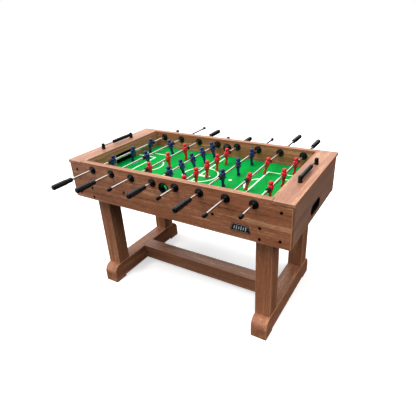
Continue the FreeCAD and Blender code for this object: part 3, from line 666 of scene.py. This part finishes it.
def bumperShape():
    r, long = bumper["radius"], bumper["length"]
    return helperObject(latheMesh("bumperShape", [
        (0, bumper["bore"]), (0, r - 2.2), (0.4, r - 1.0), (1.6, r), (5, r), (5.6, r - 0.7),
        (7.4, r - 0.7), (8, r), (long - 8, r), (long - 7.4, r - 0.7), (long - 5.6, r - 0.7), (long - 5, r),
        (long - 1.6, r), (long - 0.4, r - 1.0), (long, r - 2.2), (long, bumper["bore"])], 40, True))


gripHelper, capHelper, bumperHelper = gripShape(), capShape(), bumperShape()
for number in rods:
    body = f"rod_{number}"
    low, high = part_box(body + "_grip_and_cap")
    x, z = (low.x + high.x) / 2, (low.z + high.z) / 2
    side = -1 if rods[number][0] == "blue" else 1  # the side that the team is played from
    gripEnd, capEnd = (low.y, high.y) if side < 0 else (high.y, low.y)
    place = (x, gripEnd - side * grip["length"] * mm, z)
    mesh = spread("grip", gripHelper, [place], [towards[side]], "gripAbs")
    keepPiece(body + "_grip", mesh, body, [body + "_grip_and_cap"])
    place = (x, capEnd + side * cap["length"] * mm, z)
    mesh = spread("cap", capHelper, [place], [towards[-side]], "blackAbs")
    keepPiece(body + "_cap", mesh, body)
    low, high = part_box(body + "_bumpers")
    spots = [(x, low.y + bumper["length"] * mm, z), (x, high.y - bumper["length"] * mm, z)]
    mesh = spread("bumpers", bumperHelper, spots, [towards[-1], towards[1]], "rubber")
    keepPiece(body + "_rubber_bumpers", mesh, body + "_carriage", [body + "_bumpers"])
dropHelpers(gripHelper, capHelper, bumperHelper)
print("grips, caps and bumpers made")


bearing = {"flange": 24, "thick": 5, "hub": 12.5, "stands": 11, "bore": 6.7, "inHole": 14.6}
bolt = {"radius": 8, "height": 4.5, "socket": 2.6,
        "places": ((639, 802), (639, 655), (288, 716.2), (538, 639), (538, 698.2))}
entry = {"flange": 31.5, "thick": 4, "bore": 24, "z": 799, "innerFlange": 3, "hood": 28, "hoodDeep": 20,
         "hoodWall": 2.2, "hoodSkirt": 14}


def bearingShape(reach):
    # flange on the panel's face, hub outwards, and a sleeve into the panel's hole
    f, t, h, s, b = (bearing[key] for key in ("flange", "thick", "hub", "stands", "bore"))
    return helperObject(latheMesh("bearingShape", [
        (-reach, b), (-reach, bearing["inHole"]), (0, bearing["inHole"]), (0, f), (t - 2.6, f),
        (t - 1.2, f - 1.2), (t, f - 3.2), (t, f - 6.5), (t - 0.8, f - 7.1), (t - 0.8, h + 2.2),
        (t + 0.3, h + 1.2), (s - 3, h + 0.5), (s - 0.8, h), (s, h - 1.0), (s, b + 1.7),
        (s - 1.4, b + 0.4), (s - 1.4, b)], 48, True))


rodXs = [sum(c.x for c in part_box(f"rod_{number}_tube")) / 2 for number in rods]
rodZ = sum(c.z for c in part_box("rod_1_tube")) / 2
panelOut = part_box("back_side_panel")[1].y
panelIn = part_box("back_side_panel")[0].y
bearingHelper = bearingShape((panelOut - panelIn) / 2 / mm - 0.1)  # the two halves all but meet
for name, face, sign in (("bearing_outer_halves", panelOut, 1), ("bearing_inner_halves", panelIn, -1)):
    spots, turns = [], []
    for side in (-1, 1):
        for x in rodXs:
            spots.append((x, side * face, rodZ))
            turns.append(towards[side * sign])
    mesh = spread(name, bearingHelper, spots, turns, "blackAbs", math.pi, 5)
    keepPiece(name.replace("halves", "bushes"), mesh, "table", [name])
boltHelper = helperObject(latheMesh("boltShape", [
    (-2, 0), (-2, 4), (0, 4), (0, bolt["radius"]), (0.7, bolt["radius"]), (2.0, 7.2), (3.3, 5.7),
    (4.2, 4.1), (bolt["height"], 3.2), (bolt["height"], bolt["socket"], 6), (1.6, bolt["socket"], 6),
    (1.6, 0)], 36))
spots, turns = [], []
for side in (-1, 1):
    for x, z in bolt["places"]:
        for end in (-1, 1):
            spots.append((end * x * mm, side * panelOut, z * mm))
            turns.append(towards[side])
mesh = spread("bolts", boltHelper, spots, turns, "blackOxide", math.pi, 3)
keepPiece("panel_bolts", mesh, "table", ["frame_bolts"])


def entryShape():
    # a ring on the outer face and a sleeve through the panel to a flange on the inner face
    wall = (panelOut - panelIn) / mm
    f, b, t = entry["flange"], entry["bore"], entry["thick"]
    return helperObject(latheMesh("entryShape", [
        (-wall - entry["innerFlange"], b), (-wall - entry["innerFlange"], f - 2.4), (-wall - 2, f - 1.2),
        (-wall, f - 1), (-wall, b + 2.4), (0, b + 2.4), (0, f), (1.6, f), (3.0, f - 0.7), (t, f - 2.3),
        (t, f - 3.9), (3.0, f - 5.9), (0, b + 0.3), (-4, b)], 56, True))


def hoodShape():
    # half a dome over the hole on the inner face, open below, that turns the ball down to the field
    work = bmesh.new()
    shells = []
    for skin in (0, entry["hoodWall"]):
        wide, deep = entry["hood"] - skin, entry["hoodDeep"] - skin
        rows = []
        for i in range(9):
            t = i / 8 * math.pi / 2
            row = []
            for j in range(25):
                angle = math.radians(-entry["hoodSkirt"] + (180 + 2 * entry["hoodSkirt"]) * j / 24)
                reach = wide * math.cos(t) ** 0.8
                row.append(work.verts.new((reach * mm * math.cos(angle), reach * mm * math.sin(angle),
                                           deep * mm * math.sin(t))))
            rows.append(row)
        for lower, upper in zip(rows, rows[1:]):
            for j in range(24):
                work.faces.new((lower[j], lower[j + 1], upper[j + 1], upper[j]))
        shells.append(rows)
    outer, inner = shells
    for j in range(24):
        work.faces.new((outer[0][j], outer[0][j + 1], inner[0][j + 1], inner[0][j]))
    for j in (0, 24):
        for i in range(8):
            work.faces.new((outer[i][j], outer[i + 1][j], inner[i + 1][j], inner[i][j]))
    bmesh.ops.remove_doubles(work, verts=work.verts, dist=0.00005)
    bmesh.ops.dissolve_degenerate(work, edges=work.edges, dist=0.00001)
    return helperObject(closeMesh(work, "hoodShape"))


entryHelper, hoodHelper = entryShape(), hoodShape()
spots = [(0, side * panelOut, entry["z"] * mm) for side in (-1, 1)]
mesh = spread("entry", entryHelper, spots, [towards[-1], towards[1]], "blackAbs")
keepPiece("ball_entry_rings", mesh, "table", ["ball_entry_cups"])
hoodY = panelIn - (entry["innerFlange"] - 0.1) * mm  # sunk a hair into the inner flange
spots = [(0, side * hoodY, entry["z"] * mm) for side in (-1, 1)]
mesh = spread("hoods", hoodHelper, spots, [(math.pi / 2, 0, math.pi), (math.pi / 2, 0, 0)], "blackAbs")
keepPiece("ball_entry_hoods", mesh, "table")
dropHelpers(bearingHelper, boltHelper, entryHelper, hoodHelper)
print("bearings, bolts and ball entries made")


scorer = {"x": 640.25, "z": 876, "postY": 131, "postZ": 855, "count": 10, "pitch": 15.7,
          "bead": 11.3, "bore": 3.1, "beadLong": 15.6, "rounding": 1.9}
for name, x in (("left_score_beads", -scorer["x"]), ("right_score_beads", scorer["x"])):
    low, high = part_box(name)
    start = pointMesh("beadStart", [(x * mm, low.y + scorer["beadLong"] / 2 * mm, scorer["z"] * mm)])
    mesh = runTree(trees["beads"], start, {
        "Count": scorer["count"], "Pitch": scorer["pitch"] * mm, "Outer Radius": scorer["bead"] * mm,
        "Bore Radius": scorer["bore"] * mm, "Length": scorer["beadLong"] * mm,
        "Rounding": scorer["rounding"] * mm, "Finish": finishes["blackAbs"]})
    keepPiece(name.replace("beads", "rings"), mesh, name.replace("score_", ""), [name], 50)
postHelper = helperObject(latheMesh("postShape", [
    (0, 0), (0, 12.5), (1.4, 12.5), (2.8, 11.8), (4.6, 11.2), (26, 10.8), (30, 10.5), (33.4, 9.0),
    (35.4, 6.2), (36, 2.8), (36, 0)], 40))
spots = [(end * scorer["x"] * mm, side * scorer["postY"] * mm, scorer["postZ"] * mm)
         for end in (-1, 1) for side in (-1, 1)]
mesh = spread("posts", postHelper, spots, [(0, 0, 0)] * len(spots), "blackAbs")
keepPiece("scorer_turned_posts", mesh, "table", ["scorer_posts"])
dropHelpers(postHelper)
print("scorers made")


deflector = {"thick": 2, "off": 1.5, "inset": 8, "bottom": 703, "curl": 14, "rows": 13}


def deflectorShape():
    # a curved black sheet behind each goal mouth, down which the ball rolls to the return
    work = bmesh.new()
    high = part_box("goal_boxes")[1]
    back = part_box("right_end_panel")[0].x - deflector["off"] * mm
    top, bottom = high.z - deflector["off"] * mm, deflector["bottom"] * mm
    half = high.y - deflector["inset"] * mm
    for end in (-1, 1):
        rows = []
        for i in range(deflector["rows"]):
            t = i / (deflector["rows"] - 1)
            x = end * (back - deflector["curl"] * mm * t ** 4)
            rows.append([work.verts.new((x, y, top + (bottom - top) * t)) for y in (-half, 0, half)])
        for upper, lower in zip(rows, rows[1:]):
            for j in range(2):
                work.faces.new((upper[j], upper[j + 1], lower[j + 1], lower[j]))
    helper = helperObject(closeMesh(work, "deflectorShape"))
    sheet = helper.modifiers.new("sheet", "SOLIDIFY")
    sheet.thickness = deflector["thick"] * mm
    sheet.offset = 0
    mesh = plainMesh(helper)
    mesh.materials.append(finishes["blackAbs"])
    return mesh


keepPiece("goal_deflectors", deflectorShape(), "table")
print("goal deflectors made")


lines = {"width": 8, "ink": 0.3, "lift": 0.012, "circle": 106, "circleSteps": 72, "penaltyX": 347,
         "penaltyY": 201, "goalX": 439, "goalY": 134, "endGap": 14, "sideGap": 1, "arcDepth": 50,
         "arcHalf": 88, "arcSteps": 16, "spotX": 199, "spot": 10, "offX": 3, "offY": -14,
         "bars": 9, "barStep": 12.5, "barHalf": 12, "barLean": 6, "barsX": 12, "barsY": -10}


def addRun(points, edges, path, closed=False):
    # one line of a marking: its points in mm, joined in order
    start = len(points)
    points.extend((x * mm, y * mm, z * mm) for x, y, z in path)
    edges.extend((start + i, start + i + 1) for i in range(len(path) - 1))
    if closed:
        edges.append((start + len(path) - 1, start))


def fieldRuns():
    # the centre lines of every mark, flat, and whether each closes on itself
    steps = lines["circleSteps"]
    turns = [a * math.pi / (steps / 2) for a in range(steps)]
    ring = [(lines["circle"] * math.cos(turn), lines["circle"] * math.sin(turn)) for turn in turns]
    edge = field["halfWide"] - lines["sideGap"]
    runs = [([(0, -edge - lines["offY"]), (0, edge - lines["offY"])], False), (ring, True)]
    end = field["halfLong"] - lines["endGap"]
    half, depth, over = lines["arcHalf"], lines["arcDepth"], lines["width"] / 2
    radius = (half * half + depth * depth) / (2 * depth)
    steps = lines["arcSteps"]
    turns = [math.asin(half / radius) * i / steps for i in range(-steps, steps + 1)]
    centre = lines["penaltyX"] - depth + radius
    for side in (-1, 1):
        for x, y in ((lines["penaltyX"], lines["penaltyY"]), (lines["goalX"], lines["goalY"])):
            runs.append(([(side * end, -y), (side * x, -y)], False))
            runs.append(([(side * x, -y - over), (side * x, y + over)], False))
            runs.append(([(side * x, y), (side * end, y)], False))
        runs.append(([(side * (centre - radius * math.cos(turn)), radius * math.sin(turn))
                      for turn in turns], False))
    for i in range(lines["bars"]):  # a plain row of slanted bars across the middle
        x = lines["barsX"] + (i - (lines["bars"] - 1) / 2) * lines["barStep"]
        runs.append(([(x - lines["barLean"], lines["barsY"] - lines["barHalf"]),
                      (x + lines["barLean"], lines["barsY"] + lines["barHalf"])], False))
    return runs


points, edges = [], []
for i, (path, closed) in enumerate(fieldRuns()):
    level = field["level"] + lines["ink"] / 3 + lines["lift"] * i  # each a hair higher, to share no face
    addRun(points, edges, [(x + lines["offX"], y + lines["offY"], level) for x, y in path], closed)
mesh = bpy.data.meshes.new("fieldPaths")
mesh.from_pydata(points, edges, [])
mesh = runTree(trees["lines"], mesh, {
    "Line Width": lines["width"] * mm, "Ink Height": lines["ink"] * mm, "Finish": finishes["fieldInk"]})
keepPiece("field_lines", mesh, "table")
spotHelper = helperObject(latheMesh("spotShape", [
    (0, 0), (0, lines["spot"]), (0.25, lines["spot"]), (0.25, 0)], 32))
spots = [((side * lines["spotX"] + lines["offX"]) * mm, lines["offY"] * mm, field["level"] * mm)
         for side in (-1, 1)]
mesh = spread("spots", spotHelper, spots, [(0, 0, 0)] * 2, "fieldInk")
keepPiece("field_spots", mesh, "table")
dropHelpers(spotHelper)


plate = {"x": 438, "low": 654, "high": 697, "bottom": 108, "top": 84, "border": 3.2, "line": 1.4,
         "face": 367.5, "flat": 0.15, "bars": 6, "barStep": 12, "barHalf": 8, "barTaller": 3, "barLean": 2,
         "barStrokes": 3, "barStroke": 1.3, "barsZ": 675}


def plateRuns():
    # a thin pale border and a row of slanted bars
    b = plate["border"]
    x, low, high = plate["x"], plate["low"] + b, plate["high"] - b
    wide, narrow = plate["bottom"] / 2 - b * 1.3, plate["top"] / 2 - b
    runs = [([(x - wide, low), (x + wide, low), (x + narrow, high), (x - narrow, high)], True)]
    for i in range(plate["bars"]):
        along = x - 1 + (i - (plate["bars"] - 1) / 2) * plate["barStep"]
        tall = plate["barHalf"] + plate["barTaller"] * (i % 2)
        for k in range(plate["barStrokes"]):
            middle = along + plate["barStroke"] * k
            runs.append(([(middle - plate["barLean"], plate["barsZ"] - tall),
                          (middle + plate["barLean"], plate["barsZ"] + tall)], False))
    return runs


points, edges = [], []
for path, closed in plateRuns():
    addRun(points, edges, [(x, -plate["face"] - 0.1, z) for x, z in path], closed)
mesh = bpy.data.meshes.new("plateMarks")
mesh.from_pydata(points, edges, [])
mesh = runTree(trees["lines"], mesh, {
    "Line Width": plate["line"] * mm, "Ink Height": plate["line"] * mm, "Finish": finishes["plateInk"]})
# the strips are pressed flat onto the plate's face
mesh.transform(Matrix.Translation((0, -plate["face"] * mm, 0)) @ Matrix.Diagonal((1, plate["flat"], 1, 1))
               @ Matrix.Translation((0, plate["face"] * mm, 0)))
keepPiece("front_plate_marks", mesh, "table")
print("field lines and plate made")


view = {"lens": 32.396, "place": (1.12811, -1.74282, 1.57972), "turn": 32.08, "tilt": -27.24, "roll": -2.96}


def makeCamera():
    turn, tilt, roll = (math.radians(view[key]) for key in ("turn", "tilt", "roll"))
    forward = Vector((-math.sin(turn) * math.cos(tilt), math.cos(turn) * math.cos(tilt), math.sin(tilt)))
    right = Vector((math.cos(turn), math.sin(turn), 0))
    up = right.cross(forward)
    rolledRight = math.cos(roll) * right + math.sin(roll) * up
    rolledUp = -math.sin(roll) * right + math.cos(roll) * up
    camera = bpy.data.objects.new("camera", bpy.data.cameras.new("camera"))
    bpy.context.scene.collection.objects.link(camera)
    camera.data.sensor_width = 36
    camera.data.lens = view["lens"]
    spin = Matrix((rolledRight, rolledUp, -forward)).transposed()
    camera.matrix_world = Matrix.Translation(view["place"]) @ spin.to_4x4()
    bpy.context.scene.camera = camera


lamps = {  # lamp: where it shines from, how wide it looks in degrees, and its strength
    "overhead": ((-0.25, -0.27, 1.0), 50, 4.9),
    "frontLeft": ((-0.45, -1.0, 0.5), 40, 0.8),
    "right": ((1.0, -0.15, 0.85), 40, 1.7),
    "back": ((0.3, 1.0, 0.5), 40, 0.7)}
studio = {"lean": 0.85, "dim": 0.2, "full": 0.48, "dark": 0.0, "bright": 1.35, "below": 0.03,
          "above": 0.36}


def makeStage():
    work = bmesh.new()
    bmesh.ops.create_grid(work, x_segments=8, y_segments=8, size=40)
    mesh = closeMesh(work, "floor")
    mesh.transform(Matrix.Translation((0, 0, -0.0004)))
    material, tree, place = startMaterial("paleFloor")
    cloud = speckle(tree, place, (900, 900, 900), 2.0)
    grit = speckle(tree, place, (4, 4, 4), 2.0)
    colour = tintBetween(tree, cloud, "#d4d4d4", "#d8d8d7")
    endMaterial(tree, colour, sheenOf(tree, cloud, grit, 0.88, 0.02, 0.02), grit, 0.02,
                Emission_Color=(1, 1, 1, 1), Emission_Strength=0.5)
    mesh.materials.append(material)
    floor = helperObject(mesh)
    floor.visible_diffuse = False
    floor.visible_glossy = False
    for name, (place, wide, strength) in lamps.items():
        lamp = bpy.data.lights.new(name, "SUN")
        lamp.angle = math.radians(wide)
        lamp.energy = strength
        holder = bpy.data.objects.new(name, lamp)
        bpy.context.scene.collection.objects.link(holder)
        holder.rotation_euler = (-Vector(place)).to_track_quat("-Z", "Y").to_euler()
        holder.visible_glossy = False  # the studio's bright side is what glossy faces mirror
    world = bpy.data.worlds.new("studio")
    bpy.context.scene.world = world
    world.use_nodes = True
    tree = world.node_tree
    tree.nodes.clear()
    ray = addNode(tree, "ShaderNodeLightPath").outputs
    way = addNode(tree, "ShaderNodeTexCoord", out="Generated")
    split = addNode(tree, "ShaderNodeSeparateXYZ", {0: way}).outputs
    # what is mirrored is bright up to the left and dark to the right and below
    lean = addNode(tree, mathNode, {0: split[0], 1: -studio["lean"], 2: split[2]}, 0,
                   operation="MULTIPLY_ADD")
    mirrored = addNode(tree, rangeNode, {
        0: lean, 1: studio["dim"], 2: studio["full"], 3: studio["dark"], 4: studio["bright"]}, 0)
    lit = addNode(tree, rangeNode, {
        0: split[2], 1: -0.5, 2: 0.5, 3: studio["below"], 4: studio["above"]}, 0)
    mirrored = addNode(tree, mathNode, {0: mirrored, 1: ray["Is Glossy Ray"]}, 0, operation="MULTIPLY")
    lit = addNode(tree, mathNode, {0: lit, 1: ray["Is Diffuse Ray"], 2: mirrored}, 0,
                  operation="MULTIPLY_ADD")
    strength = addNode(tree, mathNode, {0: lit, 1: ray["Is Camera Ray"]}, 0, operation="MAXIMUM")
    sky = addNode(tree, "ShaderNodeBackground", {"Color": (1, 1, 1, 1), "Strength": strength}, 0)
    addNode(tree, "ShaderNodeOutputWorld", {"Surface": sky})


makeCamera()
makeStage()
bpy.context.scene.view_settings.view_transform = "Standard"
print("camera, floor and light made")
